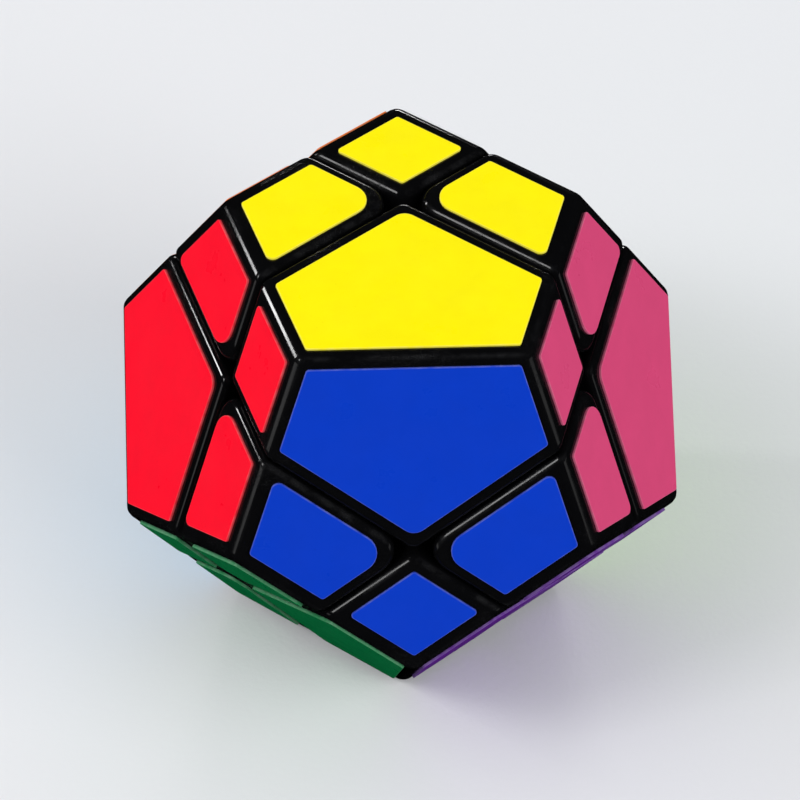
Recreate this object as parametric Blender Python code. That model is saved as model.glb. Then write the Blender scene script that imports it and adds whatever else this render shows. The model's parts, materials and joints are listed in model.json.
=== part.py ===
"""Dodecahedron twisty puzzle with four turning axes, built from its separate pieces.

The puzzle is laid out in its own frame, centred on the core, where the four turning axes run
along the body diagonals of a cube. One empty then stands it on a face.

Every piece that turns is bounded by planes square to the turning axes and by spheres about
the centre, so any half turns freely. Outside the track sphere the cut planes pass through the
centre. Inside it they are shifted, so each foot reaches under its neighbour and holds it:
  floating corner -> held by blocks -> held by axis corners -> held by sprung screws.
"""

import math

import bmesh
import bpy
from mathutils import Matrix, Vector

MM = 0.001
PHI = (1 + math.sqrt(5)) / 2

# Dodecahedron
EDGE_TO_EDGE = 70.0 * MM
CUBE_HALF = EDGE_TO_EDGE / (2 * PHI)
FACE_DISTANCE = CUBE_HALF * PHI**2 / math.sqrt(PHI + 2)

# Cut planes and track spheres
CLEARANCE = 0.15 * MM  # each side of every cut
FOOT_SHIFT = 2.6 * MM  # how far the cut planes move over in the foot layer
FOOT_INNER = 16.5 * MM
FOOT_OUTER = 19.85 * MM
TRACK = 20.3 * MM

# Moulded caps and bases
EDGE_ROUND = 1.0 * MM
CORNER_TIP_ROUND = 3.0 * MM  # radii of the upright edges where four pieces meet
BLOCK_TIP_ROUND = 1.6 * MM
TIP_DEPTH = 12.0 * MM  # caps are shaped from here outward
FACE_WALL = 1.6 * MM
SIDE_WALL = 1.4 * MM
FIT_GAP = 0.3 * MM
PLATE_BOTTOM = 20.6 * MM
PLATE_TOP = 22.4 * MM
NECK_BOTTOM = 18.0 * MM
BLOCK_NECK_INSET = 4.5 * MM
CORNER_NECK_INSET = 3.0 * MM

# Core, axle screws and springs, as heights along an axis
HUB_RADIUS = 7.5 * MM
ARM_RADIUS = 2.6 * MM
ARM_TOP = 20.0 * MM
ARM_BOTTOM = 3.0 * MM
BORE_RADIUS = 1.75 * MM
BORE_BOTTOM = 9.5 * MM
SCREW_RADIUS = 1.4 * MM
SCREW_TIP = 11.0 * MM
HEAD_BOTTOM = 30.3 * MM
HEAD_TOP = 32.3 * MM
HEAD_RADIUS = 2.75 * MM
RECESS_DEPTH = 1.2 * MM
RECESS_LENGTH = 2.8 * MM
RECESS_WIDTH = 0.6 * MM
WASHER_BOTTOM = 29.4 * MM
WASHER_TOP = 30.0 * MM
WASHER_RADIUS = 3.1 * MM
SPRING_BOTTOM = 23.15 * MM  # clear of the plate when the corner is lifted
SPRING_TOP = 29.1 * MM
SPRING_RADIUS = 2.4 * MM
WIRE_RADIUS = 0.38 * MM
SPRING_TURNS = 4
SLEEVE_BOTTOM = 18.9 * MM
SLEEVE_INNER = 2.9 * MM
SLEEVE_OUTER = 3.6 * MM
HOLE_RADIUS = 1.75 * MM
CUP_INNER = 3.3 * MM
CUP_OUTER = 4.2 * MM
CUP_TOP = 26.0 * MM
CHAMFER = 0.8 * MM  # at the screw's point and head
OVERLAP = 0.6 * MM  # of parts that are joined into one
SPRING_STEPS = 10  # per turn
WIRE_SIDES = 5

# Stickers
STICKER_EDGE_MARGIN = 1.3 * MM
STICKER_CUT_MARGIN = 2.05 * MM
STICKER_LIFT = 0.05 * MM
STICKER_THICK = 0.25 * MM
STICKER_ROUND = 0.35 * MM  # how far from a corner its rounding starts
STICKER_TIP_ROUND = 1.2 * MM  # the same at the corner between two cuts

# Facets
SPHERE_SEGMENTS = 24
TURNED_SEGMENTS = 16
EDGE_SEGMENTS = 2
TIP_SEGMENTS = 3
SHARP_DEGREES = 45  # edges sharper than this are rounded
SMOOTH_DEGREES = 30  # edges flatter than this are shaded smooth
BASE_SMOOTH_DEGREES = 25
COIL_SMOOTH_DEGREES = 60
MERGE_DISTANCE = 0.002 * MM

REST_HEIGHT = FACE_DISTANCE + STICKER_LIFT + STICKER_THICK
UPPER_FACE = Vector((0, -PHI, 1)).normalized()

AXES = {
    "a": Vector((1, 1, 1)).normalized(),
    "b": Vector((1, -1, -1)).normalized(),
    "c": Vector((-1, 1, -1)).normalized(),
    "d": Vector((-1, -1, 1)).normalized(),
}

# Turns that carry axis a to each other axis
CORNER_TURNS = {
    "a": Matrix.Identity(4),
    "b": Matrix.Rotation(math.pi, 4, "X"),
    "c": Matrix.Rotation(math.pi, 4, "Y"),
    "d": Matrix.Rotation(math.pi, 4, "Z"),
}
THIRD = Matrix.Rotation(2 * math.pi / 3, 4, AXES["a"])

# Turns that carry the +X block to each other block
BLOCK_TURNS = {
    "right": Matrix.Identity(4),
    "left": CORNER_TURNS["c"],
    "rear": THIRD,
    "front": CORNER_TURNS["b"] @ THIRD,
    "top": THIRD @ THIRD,
    "bottom": CORNER_TURNS["b"] @ THIRD @ THIRD,
}
# The two big stickers of each block, on its (PHI, 1, 0) face and its (PHI, -1, 0) face
BLOCK_STICKERS = {
    "right": ("light_green", "pink"),
    "left": ("light_blue", "red"),
    "rear": ("grey", "cream"),
    "front": ("blue", "yellow"),
    "top": ("white", "orange"),
    "bottom": ("purple", "green"),
}


# --- Materials ---------------------------------------------------------------------------


def material(name, color, roughness, metallic=0.0):
    """Plain Principled material."""
    made = bpy.data.materials.new(name)
    made.use_nodes = True
    shader = made.node_tree.nodes["Principled BSDF"]
    shader.inputs["Base Color"].default_value = (*color, 1.0)
    shader.inputs["Roughness"].default_value = roughness
    shader.inputs["Metallic"].default_value = metallic
    made.diffuse_color = (*color, 1.0)
    return made


def make_materials():
    """All materials by short name."""
    made = {
        "shell": material("black_gloss_plastic", (0.012, 0.012, 0.013), 0.22),
        "foot": material("black_satin_plastic", (0.02, 0.02, 0.022), 0.45),
        "core": material("white_core_plastic", (0.75, 0.75, 0.72), 0.4),
        "steel": material("zinc_plated_steel", (0.62, 0.62, 0.6), 0.3, 1.0),
        "wire": material("spring_steel", (0.5, 0.5, 0.5), 0.25, 1.0),
    }
    stickers = {
        "yellow": (1.0, 0.82, 0.0),
        "blue": (0.002, 0.04, 0.5),
        "red": (0.9, 0.0, 0.022),
        "pink": (0.62, 0.06, 0.17),
        "white": (0.85, 0.85, 0.85),
        "green": (0.0, 0.22, 0.06),
        "orange": (1.0, 0.2, 0.0),
        "purple": (0.13, 0.02, 0.3),
        "light_green": (0.3, 0.7, 0.05),
        "light_blue": (0.12, 0.5, 0.8),
        "grey": (0.3, 0.3, 0.31),
        "cream": (0.85, 0.75, 0.5),
    }
    for name, color in stickers.items():
        made[name] = material("sticker_film_" + name, color, 0.35)
    return made


# --- Mesh helpers ------------------------------------------------------------------------


def face_normals():
    """The twelve face normals of the dodecahedron."""
    normals = []
    for one in (1, -1):
        for two in (1, -1):
            normals.append(Vector((one, 0, two * PHI)).normalized())
            normals.append(Vector((one * PHI, two, 0)).normalized())
            normals.append(Vector((0, one * PHI, two)).normalized())
    return normals


def outer_planes(depth):
    """Dodecahedron faces, sunk by depth, as (outward normal, distance) pairs."""
    return [(normal, FACE_DISTANCE - depth) for normal in face_normals()]


def cut_planes(inside, outside, inset, shift=0.0):
    """Planes that keep the halves named in inside and leave those named in outside."""
    planes = [(-AXES[name], shift - inset) for name in inside]
    planes += [(AXES[name], -shift - inset) for name in outside]
    return planes


def convex_solid(planes):
    """Solid on the inner side of every plane."""
    bm = bmesh.new()
    bmesh.ops.create_cube(bm, size=4 * EDGE_TO_EDGE)
    for normal, distance in planes:
        everything = bm.verts[:] + bm.edges[:] + bm.faces[:]
        bmesh.ops.bisect_plane(
            bm,
            geom=everything,
            dist=1e-8,
            plane_co=normal * distance,
            plane_no=normal,
            clear_outer=True,
        )
        rim = [edge for edge in bm.edges if edge.is_boundary]
        if rim:
            bmesh.ops.contextual_create(bm, geom=rim)
    bmesh.ops.recalc_face_normals(bm, faces=bm.faces[:])
    return bm


def bevel(bm, edges, offset, segments):
    """Round the given edges of a convex solid."""
    bmesh.ops.bevel(
        bm,
        geom=edges,
        offset=offset,
        offset_type="OFFSET",
        segments=segments,
        profile=0.5,
        affect="EDGES",
        clamp_overlap=False,
    )


def is_tip(edge):
    """Whether an edge runs from near the centre out to a crossing of two cuts."""
    near, far = sorted(edge.verts, key=lambda vert: vert.co.length)
    along_edge = (far.co - near.co).normalized()
    outward = along_edge.dot(far.co.normalized()) > 0.9
    return near.co.length < TRACK < far.co.length and outward


def round_tips(bm, radius):
    """Round the tips of a piece, the upright edges where four pieces meet."""
    tips = [edge for edge in bm.edges if is_tip(edge)]
    half_angle = (math.pi - tips[0].calc_face_angle()) / 2
    bevel(bm, tips, radius / math.tan(half_angle), TIP_SEGMENTS)


def round_outside(bm, radius):
    """Round the sharp edges outside the tip depth."""
    sharp = [
        edge
        for edge in bm.edges
        if max(vert.co.length for vert in edge.verts) > TRACK
        and edge.calc_face_angle() > math.radians(SHARP_DEGREES)
    ]
    bevel(bm, sharp, radius, EDGE_SEGMENTS)


def as_mesh(bm, name):
    """Turn a bmesh into a mesh and free it."""
    mesh = bpy.data.meshes.new(name)
    bm.to_mesh(mesh)
    bm.free()
    return mesh


def ball(radius, pole):
    """Sphere about the centre with its poles along the given direction."""
    bm = bmesh.new()
    bmesh.ops.create_uvsphere(
        bm,
        u_segments=SPHERE_SEGMENTS,
        v_segments=SPHERE_SEGMENTS // 2,
        radius=radius,
        matrix=along(pole),
    )
    return as_mesh(bm, "ball")


def along(direction):
    """Rotation that carries +Z to a direction."""
    return direction.to_track_quat("Z", "Y").to_matrix().to_4x4()


def turned(rings, direction, looped):
    """Solid of revolution from (radius, height) rings, a closed loop or capped at both ends."""
    bm = bmesh.new()
    loops = []
    for radius, height in rings:
        ring = []
        for step in range(TURNED_SEGMENTS):
            angle = 2 * math.pi * step / TURNED_SEGMENTS
            point = Vector((radius * math.cos(angle), radius * math.sin(angle), height))
            ring.append(bm.verts.new(point))
        loops.append(ring)
    pairs = list(zip(loops, loops[1:]))
    if looped:
        pairs.append((loops[-1], loops[0]))
    else:
        bm.faces.new(loops[0])
        bm.faces.new(loops[-1])
    for low, high in pairs:
        for step in range(TURNED_SEGMENTS):
            after = (step + 1) % TURNED_SEGMENTS
            bm.faces.new((low[step], low[after], high[after], high[step]))
    bmesh.ops.recalc_face_normals(bm, faces=bm.faces[:])
    bm.transform(along(direction))
    return as_mesh(bm, "turned")


def combined(mesh, others, operation):
    """Mesh joined with, cut by or limited to the other meshes."""
    target = bpy.data.objects.new("target", mesh)
    bpy.context.collection.objects.link(target)
    tools = []
    for other in others:
        tool = bpy.data.objects.new("tool", other)
        bpy.context.collection.objects.link(tool)
        step = target.modifiers.new("combine", "BOOLEAN")
        step.operation = operation
        step.solver = "EXACT"
        step.object = tool
        tools.append(tool)
    bpy.context.view_layer.update()
    graph = bpy.context.evaluated_depsgraph_get()
    result = bpy.data.meshes.new_from_object(target.evaluated_get(graph))
    for used in [target, *tools]:
        old = used.data
        bpy.data.objects.remove(used)
        bpy.data.meshes.remove(old)
    return result


def finished(mesh, name, smooth_degrees=0.0):
    """Merge stray points, dissolve flat seams, face outward and set the shading."""
    bm = bmesh.new()
    bm.from_mesh(mesh)
    bmesh.ops.remove_doubles(bm, verts=bm.verts[:], dist=MERGE_DISTANCE)
    bmesh.ops.dissolve_degenerate(bm, dist=MERGE_DISTANCE, edges=bm.edges[:])
    bmesh.ops.recalc_face_normals(bm, faces=bm.faces[:])
    bm.to_mesh(mesh)
    bm.free()
    mesh.name = name
    if smooth_degrees:
        mesh.shade_smooth()
        mesh.set_sharp_from_angle(angle=math.radians(smooth_degrees))
    else:
        mesh.shade_flat()
    return mesh


# --- Outer pieces ------------------------------------------------------------------------


def tipped_wedge(inside, outside, direction, face_depth, side_depth, tip_round):
    """Solid between the faces and the cuts of one piece, with its tips rounded."""
    planes = outer_planes(face_depth)
    planes += cut_planes(inside, outside, CLEARANCE + side_depth)
    planes.append((-direction, -TIP_DEPTH))
    wedge = convex_solid(planes)
    round_tips(wedge, tip_round - side_depth)
    return wedge


def cap(inside, outside, direction, tip_round, name):
    """Hollow moulded cap: face walls, side walls down to the track sphere, open underneath."""
    solid = tipped_wedge(inside, outside, direction, 0, 0, tip_round)
    round_outside(solid, EDGE_ROUND)
    hollow = tipped_wedge(inside, outside, direction, FACE_WALL, SIDE_WALL, tip_round)
    shell = combined(as_mesh(solid, "solid"), [as_mesh(hollow, "hollow")], "DIFFERENCE")
    shell = combined(shell, [ball(TRACK, direction)], "DIFFERENCE")
    return finished(shell, name, SMOOTH_DEGREES)


def plate(inside, outside, direction, tip_round):
    """Flat plate that closes the underside of a cap."""
    face_depth = FACE_WALL + FIT_GAP
    side_depth = SIDE_WALL + FIT_GAP
    wedge = tipped_wedge(inside, outside, direction, face_depth, side_depth, tip_round)
    slab = convex_solid([(direction, PLATE_TOP), (-direction, -PLATE_BOTTOM)])
    return combined(as_mesh(wedge, "wedge"), [as_mesh(slab, "slab")], "INTERSECT")


def neck(inside, outside, direction, inset):
    """Block between plate and foot, clear of the cuts of both layers."""
    planes = cut_planes(inside, [], inset)
    planes += cut_planes([], outside, inset, FOOT_SHIFT)
    planes += [(direction, (PLATE_BOTTOM + PLATE_TOP) / 2), (-direction, -NECK_BOTTOM)]
    return as_mesh(convex_solid(planes), "neck")


def foot(inside, outside, pole):
    """Curved foot that slides between the core space and the caps of its neighbours."""
    wedge = convex_solid(cut_planes(inside, outside, CLEARANCE, FOOT_SHIFT))
    shell = combined(as_mesh(wedge, "wedge"), [ball(FOOT_OUTER, pole)], "INTERSECT")
    return combined(shell, [ball(FOOT_INNER, pole)], "DIFFERENCE")


def footed_base(inside, outside, direction, tip_round, neck_inset, name):
    """Plate, neck and foot of a block or a floating corner, moulded as one."""
    whole = combined(
        plate(inside, outside, direction, tip_round),
        [neck(inside, outside, direction, neck_inset), foot(inside, outside, direction)],
        "UNION",
    )
    return finished(whole, name, BASE_SMOOTH_DEGREES)


def axis_corner_base(name):
    """Plate of an axis corner with the sleeve that turns on the core arm and the spring cup."""
    axis = AXES["a"]
    body = plate([], ["b", "c", "d"], axis, CORNER_TIP_ROUND)
    sleeve = turned(
        [
            (SLEEVE_OUTER, SLEEVE_BOTTOM),
            (SLEEVE_OUTER, PLATE_BOTTOM + OVERLAP),
            (SLEEVE_INNER, PLATE_BOTTOM + OVERLAP),
            (SLEEVE_INNER, SLEEVE_BOTTOM),
        ],
        axis,
        True,
    )
    cup = turned(
        [
            (CUP_OUTER, PLATE_TOP - OVERLAP),
            (CUP_OUTER, CUP_TOP),
            (CUP_INNER, CUP_TOP),
            (CUP_INNER, PLATE_TOP - OVERLAP),
        ],
        axis,
        True,
    )
    hole = turned(
        [(HOLE_RADIUS, PLATE_BOTTOM - OVERLAP), (HOLE_RADIUS, PLATE_TOP + OVERLAP)],
        axis,
        False,
    )
    joined = combined(body, [sleeve, cup], "UNION")
    return finished(combined(joined, [hole], "DIFFERENCE"), name, BASE_SMOOTH_DEGREES)


# --- Core, screws, springs ---------------------------------------------------------------


def core_spider(name):
    """Central hub with four bored arms."""
    arms = []
    for axis in AXES.values():
        rings = [
            (ARM_RADIUS, ARM_BOTTOM),
            (ARM_RADIUS, ARM_TOP),
            (BORE_RADIUS, ARM_TOP),
            (BORE_RADIUS, BORE_BOTTOM),
        ]
        arms.append(turned(rings, axis, False))
    spider = combined(ball(HUB_RADIUS, AXES["a"]), arms, "UNION")
    return finished(spider, name, SMOOTH_DEGREES)


def axle_screw(name):
    """Pan-head screw with a cross recess, standing on axis a."""
    axis = AXES["a"]
    rings = [
        (SCREW_RADIUS * 0.5, SCREW_TIP),
        (SCREW_RADIUS, SCREW_TIP + CHAMFER),
        (SCREW_RADIUS, HEAD_BOTTOM),
        (HEAD_RADIUS, HEAD_BOTTOM),
        (HEAD_RADIUS, HEAD_TOP - CHAMFER),
        (HEAD_RADIUS * 0.75, HEAD_TOP),
    ]
    body = turned(rings, axis, False)
    slots = []
    for length, width in ((RECESS_LENGTH, RECESS_WIDTH), (RECESS_WIDTH, RECESS_LENGTH)):
        bm = bmesh.new()
        bmesh.ops.create_cube(bm, size=1)
        size = Matrix.Diagonal((length, width, 2 * RECESS_DEPTH, 1))
        lift = Matrix.Translation((0, 0, HEAD_TOP))
        bm.transform(along(axis) @ lift @ size)
        slots.append(as_mesh(bm, "slot"))
    return finished(combined(body, slots, "DIFFERENCE"), name, SMOOTH_DEGREES)


def washer(name):
    """Flat washer under the screw head."""
    rings = [
        (WASHER_RADIUS, WASHER_BOTTOM),
        (WASHER_RADIUS, WASHER_TOP),
        (HOLE_RADIUS, WASHER_TOP),
        (HOLE_RADIUS, WASHER_BOTTOM),
    ]
    return finished(turned(rings, AXES["a"], True), name, SMOOTH_DEGREES)


def spring(name):
    """Coil spring on axis a."""
    steps = SPRING_TURNS * SPRING_STEPS
    rise = SPRING_TOP - SPRING_BOTTOM - 2 * WIRE_RADIUS
    bm = bmesh.new()
    rings = []
    for step in range(steps + 1):
        part = step / steps
        angle = 2 * math.pi * SPRING_TURNS * part
        out = Vector((math.cos(angle), math.sin(angle), 0))
        height = SPRING_BOTTOM + WIRE_RADIUS + rise * part
        ring = []
        for side in range(WIRE_SIDES):
            turn = 2 * math.pi * side / WIRE_SIDES
            radius = SPRING_RADIUS + WIRE_RADIUS * math.cos(turn)
            point = out * radius
            point.z = height + WIRE_RADIUS * math.sin(turn)
            ring.append(bm.verts.new(point))
        rings.append(ring)
    bm.faces.new(rings[0])
    bm.faces.new(rings[-1])
    for low, high in zip(rings, rings[1:]):
        for side in range(WIRE_SIDES):
            after = (side + 1) % WIRE_SIDES
            bm.faces.new((low[side], low[after], high[after], high[side]))
    bmesh.ops.recalc_face_normals(bm, faces=bm.faces[:])
    bm.transform(along(AXES["a"]))
    return finished(as_mesh(bm, "coil"), name, COIL_SMOOTH_DEGREES)


# --- Stickers ----------------------------------------------------------------------------


def big_sticker(name):
    """Pentagon sticker on the (PHI, 1, 0) face of the +X block, with rounded corners."""
    face = Vector((PHI, 1, 0)).normalized()
    low = FACE_DISTANCE + STICKER_LIFT
    planes = [(face, low + STICKER_THICK), (-face, -low)]
    for normal in face_normals():
        if 0.4 < normal.dot(face) < 0.5:
            across = (normal - face * normal.dot(face)).normalized()
            reach = (FACE_DISTANCE - FACE_DISTANCE * normal.dot(face)) / normal.dot(across)
            planes.append((across, reach - STICKER_EDGE_MARGIN))
    for direction in (AXES["b"], -AXES["c"]):
        across = (face * direction.dot(face) - direction).normalized()
        reach = FACE_DISTANCE * direction.dot(face) / direction.dot(-across)
        planes.append((across, reach - STICKER_CUT_MARGIN))
    bm = convex_solid(planes)
    upright = [
        edge
        for edge in bm.edges
        if abs((edge.verts[1].co - edge.verts[0].co).normalized().dot(face)) > 0.9
    ]
    crossing = AXES["b"].cross(AXES["c"]).normalized()
    tip = max(upright, key=lambda edge: edge.verts[0].co.normalized().dot(crossing))
    upright.remove(tip)
    bevel(bm, upright, STICKER_ROUND, EDGE_SEGMENTS)
    bevel(bm, [tip], STICKER_TIP_ROUND, TIP_SEGMENTS)
    return finished(as_mesh(bm, "sticker"), name)


# --- Assembly ----------------------------------------------------------------------------


def place(name, mesh, surface, turn, stand):
    """Put one copy of a mesh in the puzzle frame."""
    placed = bpy.data.objects.new(name, mesh)
    if not mesh.materials:
        mesh.materials.append(surface)
    bpy.context.collection.objects.link(placed)
    placed.parent = stand
    placed.rotation_mode = "QUATERNION"
    placed.rotation_quaternion = turn.to_quaternion()
    return placed


def make_stand():
    """Empty at the puzzle's centre that stands it on the face opposite the upper one."""
    stand = bpy.data.objects.new("puzzle_centre", None)
    bpy.context.collection.objects.link(stand)
    stand.location = (0, 0, REST_HEIGHT)
    stand.rotation_euler = (math.atan2(UPPER_FACE.y, UPPER_FACE.z), 0, 0)
    return stand


def build():
    """Make every piece."""
    for old in list(bpy.data.objects):
        bpy.data.objects.remove(old)
    surfaces = make_materials()
    stand = make_stand()
    still = Matrix.Identity(4)
    place("core_spider", core_spider("core"), surfaces["core"], still, stand)

    others = ["b", "c", "d"]
    axis_pieces = [
        ("axle_screw", axle_screw("screw"), "steel"),
        ("screw_washer", washer("washer"), "steel"),
        ("tension_spring", spring("spring"), "wire"),
        ("axis_corner_base", axis_corner_base("corner_base"), "foot"),
        ("axis_corner_cap", cap([], others, AXES["a"], CORNER_TIP_ROUND, "corner_cap"), "shell"),
    ]
    for letter, turn in CORNER_TURNS.items():
        for piece, mesh, surface in axis_pieces:
            place(f"{piece}_{letter}", mesh, surfaces[surface], turn, stand)

    opposite = -AXES["a"]
    floating_cap = cap(others, [], opposite, CORNER_TIP_ROUND, "floating_cap")
    floating_foot = footed_base(
        others, [], opposite, CORNER_TIP_ROUND, CORNER_NECK_INSET, "floating_foot"
    )
    for letter, turn in zip("efgh", CORNER_TURNS.values()):
        place(f"floating_corner_cap_{letter}", floating_cap, surfaces["shell"], turn, stand)
        place(f"floating_corner_foot_{letter}", floating_foot, surfaces["foot"], turn, stand)

    halves = (["a", "b"], ["c", "d"])
    outward = Vector((1, 0, 0))
    block_cap = cap(*halves, outward, BLOCK_TIP_ROUND, "block_cap")
    block_foot = footed_base(
        *halves, outward, BLOCK_TIP_ROUND, BLOCK_NECK_INSET, "block_foot"
    )
    sticker_turns = (still, Matrix.Rotation(math.pi, 4, "X"))
    for side, turn in BLOCK_TURNS.items():
        place(f"block_shell_{side}", block_cap, surfaces["shell"], turn, stand)
        place(f"block_foot_{side}", block_foot, surfaces["foot"], turn, stand)
        for color, sticker_turn in zip(BLOCK_STICKERS[side], sticker_turns):
            mesh = big_sticker("sticker_" + color)
            place("sticker_" + color, mesh, surfaces[color], turn @ sticker_turn, stand)


build()
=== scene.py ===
"""Looks of the dodecahedron twisty puzzle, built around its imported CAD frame.

The fourteen outer shells and all 48 stickers are made here as fine meshes. The core, screws,
washers, springs, bases and feet keep their CAD meshes and get materials.

Each outer piece is named by the turning axes on whose positive side it lies: one axis is an
axis corner, three a floating corner and two a block.
"""

import json
import math

import bmesh
import bpy
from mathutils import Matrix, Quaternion, Vector


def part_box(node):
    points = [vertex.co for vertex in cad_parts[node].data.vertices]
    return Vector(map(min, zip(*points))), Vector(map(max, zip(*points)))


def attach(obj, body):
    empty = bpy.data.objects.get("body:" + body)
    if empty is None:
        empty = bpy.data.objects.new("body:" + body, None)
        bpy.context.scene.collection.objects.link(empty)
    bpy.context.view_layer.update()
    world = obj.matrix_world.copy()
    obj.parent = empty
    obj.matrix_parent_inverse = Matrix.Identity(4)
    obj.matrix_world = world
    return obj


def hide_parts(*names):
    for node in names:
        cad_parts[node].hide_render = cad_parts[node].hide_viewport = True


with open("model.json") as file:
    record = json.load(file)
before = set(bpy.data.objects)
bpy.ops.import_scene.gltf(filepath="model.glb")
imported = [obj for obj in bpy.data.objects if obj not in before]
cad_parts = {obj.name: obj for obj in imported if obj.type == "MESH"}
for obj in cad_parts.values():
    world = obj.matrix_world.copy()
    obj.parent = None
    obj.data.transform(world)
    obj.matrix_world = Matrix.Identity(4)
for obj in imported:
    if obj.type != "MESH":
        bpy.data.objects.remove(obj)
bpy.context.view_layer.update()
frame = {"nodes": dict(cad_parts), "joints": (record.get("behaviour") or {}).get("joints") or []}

MM = 0.001  # lengths are in metres
PHI = (1 + math.sqrt(5)) / 2

# The puzzle's centre, turning axes and cube directions, from the frame
JOINTS = {joint["name"]: joint for joint in frame["joints"]}
CENTRE = Vector(JOINTS["turn_a"]["pos_m"])
AXES = {letter: Vector(JOINTS["turn_" + letter]["axis"]).normalized() for letter in "abcd"}
CUBE = [(AXES["a"] + AXES[letter]).normalized() for letter in "bcd"]

# Cosines that tell directions apart. A turning axis is at 0.19 to the faces that its cut crosses
# and at 0.79 to the others, and neighbouring faces are at 0.45 to each other.
CROSSED_BELOW = 0.5
ALIGNED_ABOVE = 0.9

# Stickers
FILM_TOP = 0.3 * MM  # above the face
FILM_SINK = 0.02 * MM  # into the face
FILM_SOFTENING = 0.09 * MM  # round of the film's upper rim
# Margins by sticker and side: edge is along an edge of the dodecahedron, near along a cut that has
# the face's centre on the sticker's own side, and beyond along a cut that has it on the other side
MARGINS = {
    "pentagon": {"edge": 1.3 * MM, "near": 2.05 * MM},
    "quad": {"edge": 1.8 * MM, "near": 1.9 * MM, "beyond": 1.2 * MM},
    "rhombus": {"edge": 1.8 * MM, "beyond": 1.75 * MM},
}
# Corner radii, by where the corner is
CROSSING_ROUND = 2.5 * MM  # quad, at the crossing of the cuts
PENTAGON_TIP_ROUND = 1.8 * MM  # pentagon, at the crossing of the cuts
SHOULDER_ROUND = 0.9 * MM  # quad, where the cut to the pentagon meets an edge
PLAIN_ROUND = 0.45 * MM  # every other
ARC_STEPS = 8
RIM_STEPS = 3
RIM_BAND = 0.03 * MM  # flat strip inside the softened rim, over which the pale wear and the painted rim highlight fade out
RIM_TOP_WEAR_AND_SHEEN = 0.5  # pale wear and painted highlight at the softened rim's inner end, from 1 at its outer end

FACE_DISTANCE = CENTRE.z - FILM_TOP  # the puzzle stands on the stickers of its lowest face
OUTLINE_BLANK = 3 * FACE_DISTANCE  # half diagonal of the square that sticker outlines are cut from

# Shells
CLEARANCE = 0.15 * MM  # from a cut's plane to each shell beside it
TRACK = 20.3 * MM  # radius of the ball that the side walls end at
EDGE_ROUND = 1.0 * MM  # along the outer edges
CORNER_TIP_ROUND = 3.0 * MM  # where two cuts meet, on a corner
BLOCK_TIP_ROUND = 1.6 * MM  # the same, on a block
FLAT_HEIGHT = 12.0 * MM  # from the centre to the flat that closes a blank's inner end
FACE_WALL = 1.6 * MM
SIDE_WALL = 1.4 * MM
SOLID_BLANK = 8 * FACE_DISTANCE  # side of the cube that shells are cut from
PLANE_TOLERANCE = 1e-8
MERGE_DISTANCE = 2e-6
EDGE_SEGMENTS = 6
TIP_SEGMENTS = 8
BALL_SEGMENTS = 96
SHARP_DEGREES = 45  # edges sharper than this are rounded
SMOOTH_DEGREES = 35  # edges sharper than this aren't shaded smooth
FULL_LEAN = 0.14  # 1 - cosine of the lean at the middle of a rounded edge

# Body of each outer piece, by the halves that it is in
BODIES = {
    "a": "corner_a",
    "b": "corner_b",
    "c": "corner_c",
    "d": "corner_d",
    "bcd": "floating_e",
    "acd": "floating_f",
    "abd": "floating_g",
    "abc": "floating_h",
    "ab": "block_right",
    "cd": "block_left",
    "ac": "block_rear",
    "bd": "block_front",
    "ad": "block_top",
    "bc": "block_bottom",
}
SHELL_NODES = {
    "corner": "axis_corner_cap",
    "floating": "floating_corner_cap",
    "block": "block_shell",
}

# Sticker colours, linear
FILM_COLORS = {
    "yellow": (0.96, 0.83, 0.0),
    "blue": (0.001, 0.039, 0.5),
    "red": (0.95, 0.0, 0.018),
    "pink": (0.63, 0.058, 0.168),
    "white": (0.85, 0.85, 0.85),
    "green": (0.0, 0.22, 0.06),
    "orange": (1.0, 0.2, 0.0),
    "purple": (0.13, 0.02, 0.3),
    "light_green": (0.3, 0.7, 0.05),
    "light_blue": (0.12, 0.5, 0.8),
    "grey": (0.3, 0.3, 0.31),
    "cream": (0.85, 0.75, 0.5),
}
FILM_SHADED = 0.96  # darker half of the mottle, as a share of the colour
FILM_SPECK = 0.75  # specks, as a share of the colour
FILM_ROUGHNESS = (0.26, 0.38)
FILM_IOR = 1.5
FILM_SPECULAR = 0.1

# Black gloss plastic of the shells, linear
SHELL_DARK = (0.0018, 0.0018, 0.0021)
SHELL_LIGHT = (0.0032, 0.0032, 0.0036)
SHELL_RUBBED = (0.014, 0.014, 0.015)
SHELL_SCRATCHED = (0.012, 0.012, 0.013)
SHELL_ROUGHNESS = (0.09, 0.17)
RUBBED_ROUGHNESS = 0.12  # added at rubbed edges
SCRATCHED_ROUGHNESS = 0.15  # added in scratches
SHELL_IOR = 1.53
SHELL_SPECULAR = 0.35

# Studio
FLOOR_RADIUS = 4.0
FLOOR_SIDES = 96
FLOOR_DROP = 0.02 * MM  # keeps the floor off the lowest stickers
FLOOR_DARK = (0.74, 0.745, 0.755)
FLOOR_LIGHT = (0.77, 0.772, 0.78)
FLOOR_ROUGHNESS = 0.85
FLOOR_SPECULAR = 0.1
SKY_COLOR = (0.92, 0.95, 1.0)
SKY_STRENGTH = 0.5

# Camera: degrees, metres from the puzzle's centre, and millimetres of lens
CAMERA_AZIMUTH = -4.5
CAMERA_ELEVATION = 50.1
CAMERA_ROLL = 2.1
CAMERA_DISTANCE = 0.38
CAMERA_LENS = 135.0


def new_object(name, data):
    """Object with the given data, linked into the scene."""
    made = bpy.data.objects.new(name, data)
    bpy.context.collection.objects.link(made)
    return made


# --- Nodes for materials -------------------------------------------------------------------


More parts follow.
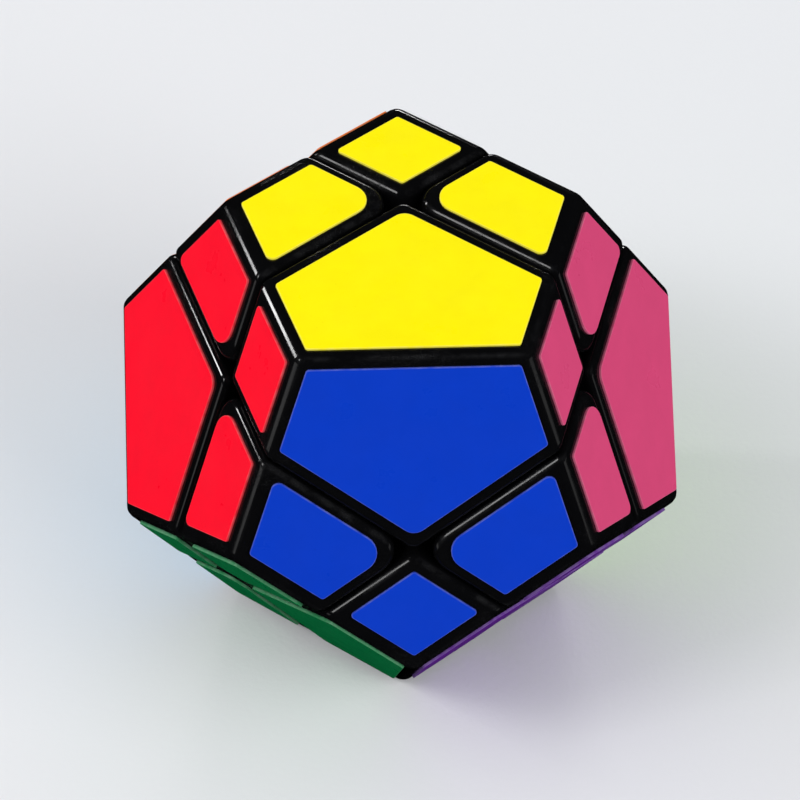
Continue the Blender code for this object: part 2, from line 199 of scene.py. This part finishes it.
def add(tree, kind, sockets=(), **settings):
    """Add a shader node. sockets pairs input names with values or other nodes' outputs."""
    made = tree.nodes.new("ShaderNode" + kind)
    for key, value in settings.items():
        setattr(made, key, value)
    for key, value in sockets:
        if isinstance(value, bpy.types.NodeSocket):
            tree.links.new(value, made.inputs[key])
        else:
            made.inputs[key].default_value = value
    return made


def new_material(name):
    """Empty Principled material as (material, tree, shader, object coordinates)."""
    made = bpy.data.materials.new(name)
    made.use_nodes = True
    tree = made.node_tree
    coords = add(tree, "TexCoord").outputs["Object"]
    return made, tree, tree.nodes["Principled BSDF"], coords


def noise(tree, coords, size, detail=2.0, roughness=0.5):
    """Noise value whose blotches are about the given size across."""
    sockets = [
        ("Vector", coords),
        ("Scale", 1 / size),
        ("Detail", detail),
        ("Roughness", roughness),
    ]
    return add(tree, "TexNoise", sockets).outputs["Fac"]


def remap(tree, value, source, target=(0.0, 1.0)):
    """Value stretched from the source range to the target range and held to it."""
    sockets = [
        ("Value", value),
        ("From Min", source[0]),
        ("From Max", source[1]),
        ("To Min", target[0]),
        ("To Max", target[1]),
    ]
    return add(tree, "MapRange", sockets).outputs["Result"]


def math_node(tree, operation, *values):
    """Result of a Math node."""
    return add(tree, "Math", list(enumerate(values)), operation=operation).outputs["Value"]


def stretched(tree, coords, scale):
    """Coordinates scaled along each axis, which draws a pattern out along the others."""
    return add(tree, "Mapping", [("Vector", coords), ("Scale", scale)]).outputs["Vector"]


def blend_color(tree, share, one, two):
    """Colour that goes from one to two as share goes from 0 to 1."""
    made = add(tree, "Mix", data_type="RGBA")
    for index, value in ((0, share), (6, one), (7, two)):
        if isinstance(value, bpy.types.NodeSocket):
            tree.links.new(value, made.inputs[index])
        else:
            made.inputs[index].default_value = value
    return made.outputs[2]


def bump(tree, height, depth, normal=None):
    """Normal bent by a height map whose full range is depth in metres."""
    sockets = [("Height", height), ("Distance", depth), ("Strength", 1.0)]
    if normal:
        sockets.append(("Normal", normal))
    return add(tree, "Bump", sockets).outputs["Normal"]


def hairlines(tree, coords, scale, size, width=0.012):
    """Sparse fine lines along one direction, in patches: 1 on a line and 0 elsewhere.

    A line runs where a noise field passes through its middle value, to within width.
    """
    field = noise(tree, stretched(tree, coords, scale), size, detail=1.0, roughness=0.4)
    distance = math_node(tree, "ABSOLUTE", math_node(tree, "SUBTRACT", field, 0.5))
    line = remap(tree, distance, (0.0, width), (1.0, 0.0))
    patches = remap(tree, noise(tree, coords, 7 * MM, detail=1.0), (0.55, 0.62))
    return math_node(tree, "MULTIPLY", line, patches)


def edge_attribute(tree):
    """The mesh's edge attribute: 1 on rims and rounded edges, 0 on flats. On the shells it masks
    wear, on the stickers wear plus a painted highlight along the rim.
    """
    return add(tree, "Attribute", attribute_name="edge").outputs["Fac"]


def worn_edges(tree, coords):
    """Wear mask of the rounded edges, broken up along the edge."""
    broken = remap(tree, noise(tree, coords, 2.5 * MM, detail=5.0, roughness=0.65), (0.42, 0.7))
    return math_node(tree, "MULTIPLY", remap(tree, edge_attribute(tree), (0.35, 1.0)), broken)


def color4(color, share=1.0, lift=0.0):
    """A share of a colour, lifted towards white, with full alpha."""
    return (*(share * part + lift for part in color), 1.0)


def shell_material():
    """Black moulded plastic, glossy, with fine scratches and slightly rubbed edges."""
    made, tree, shader, coords = new_material("black_gloss_plastic")
    rim_mask = worn_edges(tree, coords)
    smudges = noise(tree, coords, 9 * MM, detail=4.0, roughness=0.55)
    lengthwise = hairlines(tree, coords, scale=(1.0, 9.0, 9.0), size=2.2 * MM)
    crosswise = hairlines(tree, coords, scale=(8.0, 1.0, 7.0), size=2.6 * MM)
    scratches = math_node(tree, "MAXIMUM", lengthwise, crosswise)
    base = blend_color(tree, smudges, color4(SHELL_DARK), color4(SHELL_LIGHT))
    rubbed = blend_color(tree, rim_mask, base, color4(SHELL_RUBBED))
    scuffed = blend_color(tree, scratches, rubbed, color4(SHELL_SCRATCHED))
    tree.links.new(scuffed, shader.inputs["Base Color"])
    rough = remap(tree, smudges, (0.35, 0.7), SHELL_ROUGHNESS)
    for mask, added in ((rim_mask, RUBBED_ROUGHNESS), (scratches, SCRATCHED_ROUGHNESS)):
        rough = math_node(tree, "ADD", rough, math_node(tree, "MULTIPLY", mask, added))
    tree.links.new(rough, shader.inputs["Roughness"])
    peel = bump(tree, noise(tree, coords, 0.9 * MM), depth=0.003 * MM)
    grooves = math_node(tree, "MULTIPLY", scratches, -1.0)
    tree.links.new(bump(tree, grooves, depth=0.004 * MM, normal=peel), shader.inputs["Normal"])
    shader.inputs["IOR"].default_value = SHELL_IOR
    shader.inputs["Specular IOR Level"].default_value = SHELL_SPECULAR
    return made


def film_material(name, color):
    """Coloured vinyl film: satin, faintly mottled, with a pale rim that is partly wear of the cut
    edge and partly a painted highlight along the softened rim.
    """
    made, tree, shader, coords = new_material("sticker_film_" + name)
    mottle = remap(tree, noise(tree, coords, 4 * MM, detail=5.0, roughness=0.6), (0.35, 0.65))
    base = blend_color(tree, mottle, color4(color, FILM_SHADED), color4(color))
    specks = remap(tree, noise(tree, coords, 0.35 * MM, detail=1.0), (0.74, 0.8), (0.0, 0.35))
    speckled = blend_color(tree, specks, base, color4(color, FILM_SPECK))
    # Pale rim: partly wear of the cut edge, partly a painted highlight along the softened rim,
    # broken up by noise
    broken = remap(tree, noise(tree, coords, 1.2 * MM), (0.3, 0.7), (0.1, 0.4))
    rim_mask = math_node(tree, "MULTIPLY", edge_attribute(tree), broken)
    rimmed = blend_color(tree, rim_mask, speckled, color4(color, share=0.55, lift=0.3))
    tree.links.new(rimmed, shader.inputs["Base Color"])
    handled = noise(tree, coords, 6 * MM, detail=4.0, roughness=0.6)
    tree.links.new(remap(tree, handled, (0.3, 0.7), FILM_ROUGHNESS), shader.inputs["Roughness"])
    grain = bump(tree, noise(tree, coords, 0.45 * MM, detail=3.0, roughness=0.6), depth=0.004 * MM)
    waves = bump(tree, noise(tree, coords, 5 * MM, detail=1.0), depth=0.02 * MM, normal=grain)
    tree.links.new(waves, shader.inputs["Normal"])
    shader.inputs["IOR"].default_value = FILM_IOR
    shader.inputs["Specular IOR Level"].default_value = FILM_SPECULAR
    return made


def moulded_material(name, low, high, roughness, grain_depth):
    """Plain moulded plastic with flow marks and a fine eroded grain."""
    made, tree, shader, coords = new_material(name)
    flow = stretched(tree, coords, (1.0, 1.0, 3.5))
    marks = remap(tree, noise(tree, flow, 6 * MM, detail=5.0, roughness=0.6), (0.3, 0.7))
    color = blend_color(tree, marks, color4(low), color4(high))
    tree.links.new(color, shader.inputs["Base Color"])
    grain = noise(tree, coords, 0.25 * MM, detail=3.0, roughness=0.6)
    rough = remap(tree, grain, (0.3, 0.7), (roughness - 0.07, roughness + 0.07))
    tree.links.new(rough, shader.inputs["Roughness"])
    fine = bump(tree, grain, grain_depth)
    tree.links.new(bump(tree, marks, depth=0.01 * MM, normal=fine), shader.inputs["Normal"])
    return made


def metal_material(name, low, high, roughness, scale):
    """Bright metal, tarnished in blotches, with drawing or turning marks along one direction."""
    made, tree, shader, coords = new_material(name)
    marks = noise(tree, stretched(tree, coords, scale), 0.4 * MM, detail=4.0, roughness=0.6)
    blotches = noise(tree, coords, 1.6 * MM, detail=5.0, roughness=0.6)
    tarnish = remap(tree, blotches, (0.35, 0.7))
    color = blend_color(tree, tarnish, color4(high), color4(low))
    tree.links.new(color, shader.inputs["Base Color"])
    rough = remap(tree, marks, (0.3, 0.7), (roughness - 0.08, roughness + 0.1))
    tree.links.new(rough, shader.inputs["Roughness"])
    tree.links.new(bump(tree, marks, depth=0.006 * MM), shader.inputs["Normal"])
    shader.inputs["Metallic"].default_value = 1.0
    return made


def floor_material():
    """Pale paper sweep with a faint tooth."""
    made, tree, shader, coords = new_material("studio_floor")
    shade = remap(tree, noise(tree, coords, 200 * MM, detail=3.0), (0.3, 0.7))
    tone = blend_color(tree, shade, color4(FLOOR_DARK), color4(FLOOR_LIGHT))
    tree.links.new(tone, shader.inputs["Base Color"])
    shader.inputs["Roughness"].default_value = FLOOR_ROUGHNESS
    shader.inputs["Specular IOR Level"].default_value = FLOOR_SPECULAR
    tooth = bump(tree, noise(tree, coords, 0.8 * MM, detail=3.0), depth=0.03 * MM)
    tree.links.new(tooth, shader.inputs["Normal"])
    return made


# --- Shells --------------------------------------------------------------------------------


def face_normals():
    """The twelve face normals of the dodecahedron."""
    normals = []
    for index, first in enumerate(CUBE):
        second = CUBE[(index + 1) % 3]
        for one in (PHI, -PHI):
            for two in (1, -1):
                normals.append((first * one + second * two).normalized())
    return normals


def cut_planes(halves, inset):
    """Planes that keep the named halves and leave the others, as (normal, distance) pairs."""
    return [(-axis if letter in halves else axis, -inset) for letter, axis in AXES.items()]


def convex_solid(planes):
    """Solid on the inner side of every plane."""
    bm = bmesh.new()
    bmesh.ops.create_cube(bm, size=SOLID_BLANK)
    for normal, distance in planes:
        everything = bm.verts[:] + bm.edges[:] + bm.faces[:]
        bmesh.ops.bisect_plane(
            bm,
            geom=everything,
            dist=PLANE_TOLERANCE,
            plane_co=normal * distance,
            plane_no=normal,
            clear_outer=True,
        )
        rim = [edge for edge in bm.edges if edge.is_boundary]
        if rim:
            bmesh.ops.contextual_create(bm, geom=rim)
    bmesh.ops.recalc_face_normals(bm, faces=bm.faces[:])
    return bm


def bevel(bm, edges, offset, segments):
    """Round the given edges of a convex solid."""
    bmesh.ops.bevel(
        bm,
        geom=edges,
        offset=offset,
        offset_type="OFFSET",
        segments=segments,
        profile=0.5,
        affect="EDGES",
        clamp_overlap=False,
    )


def is_tip(edge):
    """Whether an edge runs from near the centre out to a crossing of two cuts."""
    near, far = sorted(edge.verts, key=lambda vert: vert.co.length)
    along_edge = (far.co - near.co).normalized()
    outward = along_edge.dot(far.co.normalized()) > ALIGNED_ABOVE
    return near.co.length < TRACK < far.co.length and outward


def wedge(halves, face_depth, side_depth):
    """Solid between the faces and the cuts of one piece, with its tips rounded."""
    direction = sum((AXES[letter] for letter in halves), Vector()).normalized()
    planes = [(normal, FACE_DISTANCE - face_depth) for normal in face_normals()]
    planes += cut_planes(halves, CLEARANCE + side_depth)
    planes.append((-direction, -FLAT_HEIGHT))
    bm = convex_solid(planes)
    tips = [edge for edge in bm.edges if is_tip(edge)]
    half_angle = (math.pi - tips[0].calc_face_angle()) / 2
    tip_round = BLOCK_TIP_ROUND if len(halves) == 2 else CORNER_TIP_ROUND
    bevel(bm, tips, (tip_round - side_depth) / math.tan(half_angle), TIP_SEGMENTS)
    return bm


def as_mesh(bm, name):
    """Turn a bmesh into a mesh and free it."""
    mesh = bpy.data.meshes.new(name)
    bm.to_mesh(mesh)
    bm.free()
    return mesh


def ball():
    """Sphere of the track radius about the centre."""
    bm = bmesh.new()
    bmesh.ops.create_uvsphere(
        bm, u_segments=BALL_SEGMENTS, v_segments=BALL_SEGMENTS // 2, radius=TRACK
    )
    return as_mesh(bm, "ball")


def less(mesh, others):
    """Mesh with the other meshes cut out of it."""
    target = new_object("target", mesh)
    tools = []
    for other in others:
        tool = new_object("tool", other)
        step = target.modifiers.new("cut", "BOOLEAN")
        step.operation = "DIFFERENCE"
        step.solver = "EXACT"
        step.object = tool
        tools.append(tool)
    bpy.context.view_layer.update()
    graph = bpy.context.evaluated_depsgraph_get()
    result = bpy.data.meshes.new_from_object(target.evaluated_get(graph))
    for used in [target, *tools]:
        old = used.data
        bpy.data.objects.remove(used)
        bpy.data.meshes.remove(old)
    return result


def mark_edges(mesh):
    """Store how far each point's normal leans from the nearest flat as the edge attribute."""
    flats = face_normals()
    for axis in AXES.values():
        flats += [axis, -axis]
    values = []
    for vert in mesh.vertices:
        lean = 1 - max(vert.normal.dot(flat) for flat in flats)
        values.append(min(1.0, lean / FULL_LEAN))
    attribute = mesh.attributes.new("edge", "FLOAT", "POINT")
    attribute.data.foreach_set("value", values)


def shell_mesh(halves, name):
    """Hollow moulded shell: face walls, side walls down to the track sphere, open underneath."""
    solid = wedge(halves, face_depth=0, side_depth=0)
    sharp = [
        edge
        for edge in solid.edges
        if max(vert.co.length for vert in edge.verts) > TRACK
        and edge.calc_face_angle() > math.radians(SHARP_DEGREES)
    ]
    bevel(solid, sharp, EDGE_ROUND, EDGE_SEGMENTS)
    hollow = wedge(halves, face_depth=FACE_WALL, side_depth=SIDE_WALL)
    mesh = less(as_mesh(solid, "solid"), [as_mesh(hollow, "hollow"), ball()])
    bm = bmesh.new()
    bm.from_mesh(mesh)
    bmesh.ops.remove_doubles(bm, verts=bm.verts[:], dist=MERGE_DISTANCE)
    bmesh.ops.dissolve_degenerate(bm, dist=MERGE_DISTANCE, edges=bm.edges[:])
    bmesh.ops.recalc_face_normals(bm, faces=bm.faces[:])
    bm.to_mesh(mesh)
    bm.free()
    mesh.name = name
    mesh.shade_smooth()
    mesh.set_sharp_from_angle(angle=math.radians(SMOOTH_DEGREES))
    mark_edges(mesh)
    return mesh


# --- Stickers ------------------------------------------------------------------------------


def clip(outline, normal, reach, label):
    """Part of a convex outline where normal . point < reach.

    An outline is a list of (point, label of the side that starts there).
    """
    kept = []
    for (here, side), (after, _) in zip(outline, outline[1:] + outline[:1]):
        depth_here = reach - normal.dot(here)
        depth_after = reach - normal.dot(after)
        if depth_here > 0:
            kept.append((here, side))
        if (depth_here > 0) != (depth_after > 0):
            crossing = here.lerp(after, depth_here / (depth_here - depth_after))
            kept.append((crossing, label if depth_here > 0 else side))
    return kept


def face_axes(face):
    """Two directions in the plane of a face, a right-handed set with it."""
    across = face.orthogonal().normalized()
    return across, face.cross(across)


def neighbours(face):
    """Normals of the five faces that share an edge with a face."""
    return [normal for normal in face_normals() if 0 < normal.dot(face) < ALIGNED_ABOVE]


def crosses(axis, face):
    """Whether the cut square to an axis crosses a face."""
    return abs(axis.dot(face)) < CROSSED_BELOW


def sticker_kind(face, halves):
    """pentagon, quad or rhombus, by how many cuts lie between the sticker and the face's centre."""
    between = 0
    for letter, axis in AXES.items():
        if crosses(axis, face) and (axis.dot(face) > 0) != (letter in halves):
            between += 1
    return ("pentagon", "quad", "rhombus")[between]


def sticker_outline(face, halves, inset):
    """Outline of one sticker in the plane of its face, drawn in by inset."""
    across, up = face_axes(face)
    margins = MARGINS[sticker_kind(face, halves)]
    outline = []
    for quarter in range(4):
        turn = math.pi / 2 * quarter
        corner = Vector((OUTLINE_BLANK * math.cos(turn), OUTLINE_BLANK * math.sin(turn)))
        outline.append((corner, "edge"))
    for normal in neighbours(face):
        side = Vector((normal.dot(across), normal.dot(up)))
        reach = FACE_DISTANCE * (1 - normal.dot(face)) / side.length
        outline = clip(outline, side.normalized(), reach - margins["edge"] - inset, "edge")
    for letter, axis in AXES.items():
        if crosses(axis, face):
            away = -axis if letter in halves else axis
            side = Vector((away.dot(across), away.dot(up)))
            reach = -FACE_DISTANCE * away.dot(face) / side.length
            label = "near" if reach > 0 else "beyond"
            outline = clip(outline, side.normalized(), reach - margins[label] - inset, label)
    return outline


def corner_round(sides, kind):
    """Radius of a sticker's corner between two kinds of side."""
    if sides == {"near", "beyond"}:
        return CROSSING_ROUND
    if sides == {"near"}:
        return PENTAGON_TIP_ROUND
    if sides == {"edge", "beyond"} and kind == "quad":
        return SHOULDER_ROUND
    return PLAIN_ROUND


def rounded(outline, inset, kind):
    """Points of a drawn-in outline with each corner turned into an arc."""
    points = []
    for index, (corner, side) in enumerate(outline):
        before, side_before = outline[index - 1]
        after = outline[(index + 1) % len(outline)][0]
        arriving = (corner - before).normalized()
        leaving = (after - corner).normalized()
        turn = arriving.angle(leaving)
        radius = corner_round({side_before, side}, kind) - inset
        inward = Vector((-arriving.y, arriving.x))
        middle = corner - arriving * radius * math.tan(turn / 2) + inward * radius
        for step in range(ARC_STEPS + 1):
            angle = turn * step / ARC_STEPS
            offset = arriving * math.sin(angle) - inward * math.cos(angle)
            points.append(middle + offset * radius)
    return points


def sticker_mesh(face, halves, name):
    """Film with rounded corners and a softened upper rim, its back just inside the face."""
    across, up = face_axes(face)
    kind = sticker_kind(face, halves)
    levels = [(0.0, -FILM_SINK, 1.0)]  # as (inset, height, pale rim share from wear plus painted highlight), from the back up
    for step in range(RIM_STEPS + 1):
        angle = math.pi / 2 * step / RIM_STEPS
        inset = FILM_SOFTENING * (1 - math.cos(angle))
        height = FILM_TOP - FILM_SOFTENING * (1 - math.sin(angle))
        levels.append((inset, height, 1.0 - (1.0 - RIM_TOP_WEAR_AND_SHEEN) * step / RIM_STEPS))
    levels.append((FILM_SOFTENING + RIM_BAND, FILM_TOP, 0.0))
    bm = bmesh.new()
    # The edge attribute sets the pale rim: wear of the cut edge plus a painted highlight on the
    # softened rim
    edge = bm.verts.layers.float.new("edge")
    rings = []
    for inset, height, wear_and_sheen in levels:
        ring = []
        for point in rounded(sticker_outline(face, halves, inset), inset, kind):
            place = face * (FACE_DISTANCE + height) + across * point.x + up * point.y
            vert = bm.verts.new(place)
            vert[edge] = wear_and_sheen
            ring.append(vert)
        rings.append(ring)
    bm.faces.new(rings[0])
    bm.faces.new(rings[-1])
    for low, high in zip(rings, rings[1:]):
        for index in range(len(low)):
            after = (index + 1) % len(low)
            bm.faces.new((low[index], low[after], high[after], high[index]))
    bmesh.ops.recalc_face_normals(bm, faces=bm.faces[:])
    mesh = as_mesh(bm, name)
    mesh.shade_smooth()
    mesh.set_sharp_from_angle(angle=math.radians(SMOOTH_DEGREES))
    return mesh


# --- Pieces --------------------------------------------------------------------------------


def put(mesh, surface, body, nodes):
    """Show a mesh about the puzzle's centre as a piece that rides on a body and replaces nodes."""
    piece = new_object(mesh.name, mesh)
    piece.location = CENTRE
    mesh.materials.append(surface)
    flats = piece.modifiers.new("flats", "WEIGHTED_NORMAL")
    flats.keep_sharp = True
    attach(piece, body)
    if nodes:
        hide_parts(*nodes)


def make_shells():
    """All fourteen outer shells."""
    surface = shell_material()
    for halves, body in BODIES.items():
        kind, which = body.split("_")
        node = f"{SHELL_NODES[kind]}_{which}"
        mesh = shell_mesh(halves, f"{node}_moulding")
        put(mesh, surface, body, [node])


def face_of(color):
    """Normal of the face whose large sticker has this colour in the frame."""
    low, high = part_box("sticker_" + color)
    direction = (low + high) / 2 - CENTRE
    return max(face_normals(), key=direction.dot)


def make_stickers():
    """All 48 stickers, four to a face."""
    for color, linear in FILM_COLORS.items():
        surface = film_material(color, linear)
        face = face_of(color)
        crossing = [letter for letter, axis in AXES.items() if crosses(axis, face)]
        home = [letter for letter, axis in AXES.items() if axis.dot(face) > CROSSED_BELOW]
        # All of the face is in its home halves, and each of two cuts splits it once more
        for first in ([], crossing[:1]):
            for second in ([], crossing[1:]):
                halves = "".join(sorted(home + first + second))
                body = BODIES[halves]
                nodes = ["sticker_" + color] if sticker_kind(face, halves) == "pentagon" else []
                mesh = sticker_mesh(face, halves, f"film_{color}_on_{body}")
                put(mesh, surface, body, nodes)


def dress_inner_nodes():
    """Materials of the CAD nodes that stay: core, screws, washers, springs, bases and feet."""
    satin = moulded_material(
        "black_satin_plastic",
        low=(0.012, 0.012, 0.013),
        high=(0.022, 0.022, 0.024),
        roughness=0.45,
        grain_depth=0.006 * MM,
    )
    white = moulded_material(
        "white_core_plastic",
        low=(0.7, 0.7, 0.665),
        high=(0.78, 0.78, 0.75),
        roughness=0.38,
        grain_depth=0.004 * MM,
    )
    zinc = metal_material(
        "zinc_plated_steel",
        low=(0.5, 0.5, 0.47),
        high=(0.68, 0.69, 0.7),
        roughness=0.3,
        scale=(1.0, 1.0, 6.0),
    )
    wire = metal_material(
        "spring_steel",
        low=(0.38, 0.37, 0.36),
        high=(0.56, 0.56, 0.57),
        roughness=0.24,
        scale=(5.0, 5.0, 1.0),
    )
    surfaces = {
        "core_spider": white,
        "axle_screw": zinc,
        "screw_washer": zinc,
        "tension_spring": wire,
        "axis_corner_base": satin,
        "block_foot": satin,
        "floating_corner_foot": satin,
    }
    for name, node in frame["nodes"].items():
        for start, surface in surfaces.items():
            if name.startswith(start):
                node.data.materials.clear()
                node.data.materials.append(surface)


# --- Studio --------------------------------------------------------------------------------


def make_floor():
    """Pale floor under the puzzle."""
    bm = bmesh.new()
    bmesh.ops.create_circle(bm, cap_ends=True, segments=FLOOR_SIDES, radius=FLOOR_RADIUS)
    floor = new_object("floor", as_mesh(bm, "floor"))
    floor.location.z = -FLOOR_DROP
    floor.data.materials.append(floor_material())
    floor.visible_glossy = False


def softbox(name, direction, distance, size, power, mirrored=True, lean=0.0):
    """Rectangular area light aimed at the puzzle: metres, watts, and lean degrees about its beam.

    The puzzle's gloss shows it only if mirrored.
    """
    light = bpy.data.lights.new(name, "AREA")
    light.shape = "RECTANGLE"
    light.size, light.size_y = size
    light.energy = power
    lamp = new_object(name, light)
    outward = Vector(direction).normalized()
    lamp.location = CENTRE + outward * distance
    turn = Quaternion((0, 0, 1), math.radians(lean))
    lamp.rotation_mode = "QUATERNION"
    lamp.rotation_quaternion = outward.to_track_quat("Z", "Y") @ turn
    lamp.visible_glossy = mirrored


def make_lights():
    """Soft key from the upper left, strips at the left and behind, and soft fills."""
    upper_left = (-0.62, -0.25, 0.74)
    left = (-0.85, 0.0, 0.5)
    left_behind = (-0.84, 0.365, 0.402)
    low_left = (-0.93, -0.35, 0.1)
    low_right = (0.93, -0.35, 0.1)
    low_rear = (0.097, 0.974, 0.204)
    rear = (0.4, 0.85, 0.35)
    front_right = (0.72, -0.5, 0.48)
    softbox("key", upper_left, distance=0.9, size=(0.22, 0.22), power=1.25)
    softbox("key_fill", upper_left, distance=1.0, size=(0.5, 0.5), power=1.3, mirrored=False)
    softbox("left_strip", left_behind, distance=0.9, size=(0.05, 0.25), power=1.2, lean=19)
    softbox("left_fill", left, distance=1.0, size=(0.5, 0.5), power=1.5, mirrored=False)
    softbox("left_panel", low_left, distance=0.9, size=(0.5, 0.16), power=0.25)
    softbox("right_panel", low_right, distance=0.9, size=(0.5, 0.16), power=0.15)
    softbox("rear_strip", low_rear, distance=0.9, size=(0.25, 0.07), power=1.5)
    softbox("rear_fill", rear, distance=1.0, size=(0.5, 0.5), power=1.0, mirrored=False)
    softbox("fill", front_right, distance=1.2, size=(0.9, 0.9), power=8.4, mirrored=False)


def make_sky():
    """Even pale light from all round, which the puzzle's gloss doesn't show."""
    world = bpy.data.worlds.new("studio")
    bpy.context.scene.world = world
    world.use_nodes = True
    sky = world.node_tree.nodes["Background"]
    sky.inputs["Color"].default_value = color4(SKY_COLOR)
    sky.inputs["Strength"].default_value = SKY_STRENGTH
    world.cycles_visibility.glossy = False


def make_camera():
    """Camera at the photograph's viewing angle, aimed at the puzzle's centre."""
    azimuth = math.radians(CAMERA_AZIMUTH)
    elevation = math.radians(CAMERA_ELEVATION)
    level = math.cos(elevation)
    back = Vector((math.sin(azimuth) * level, -math.cos(azimuth) * level, math.sin(elevation)))
    data = bpy.data.cameras.new("camera")
    data.lens = CAMERA_LENS
    camera = new_object("camera", data)
    camera.location = CENTRE + back * CAMERA_DISTANCE
    roll = Quaternion((0, 0, 1), math.radians(CAMERA_ROLL))
    camera.rotation_mode = "QUATERNION"
    camera.rotation_quaternion = (-back).to_track_quat("-Z", "Y") @ roll
    bpy.context.scene.camera = camera


make_camera()
make_shells()
make_stickers()
dress_inner_nodes()
make_floor()
make_lights()
make_sky()
bpy.context.scene.view_settings.view_transform = "Standard"
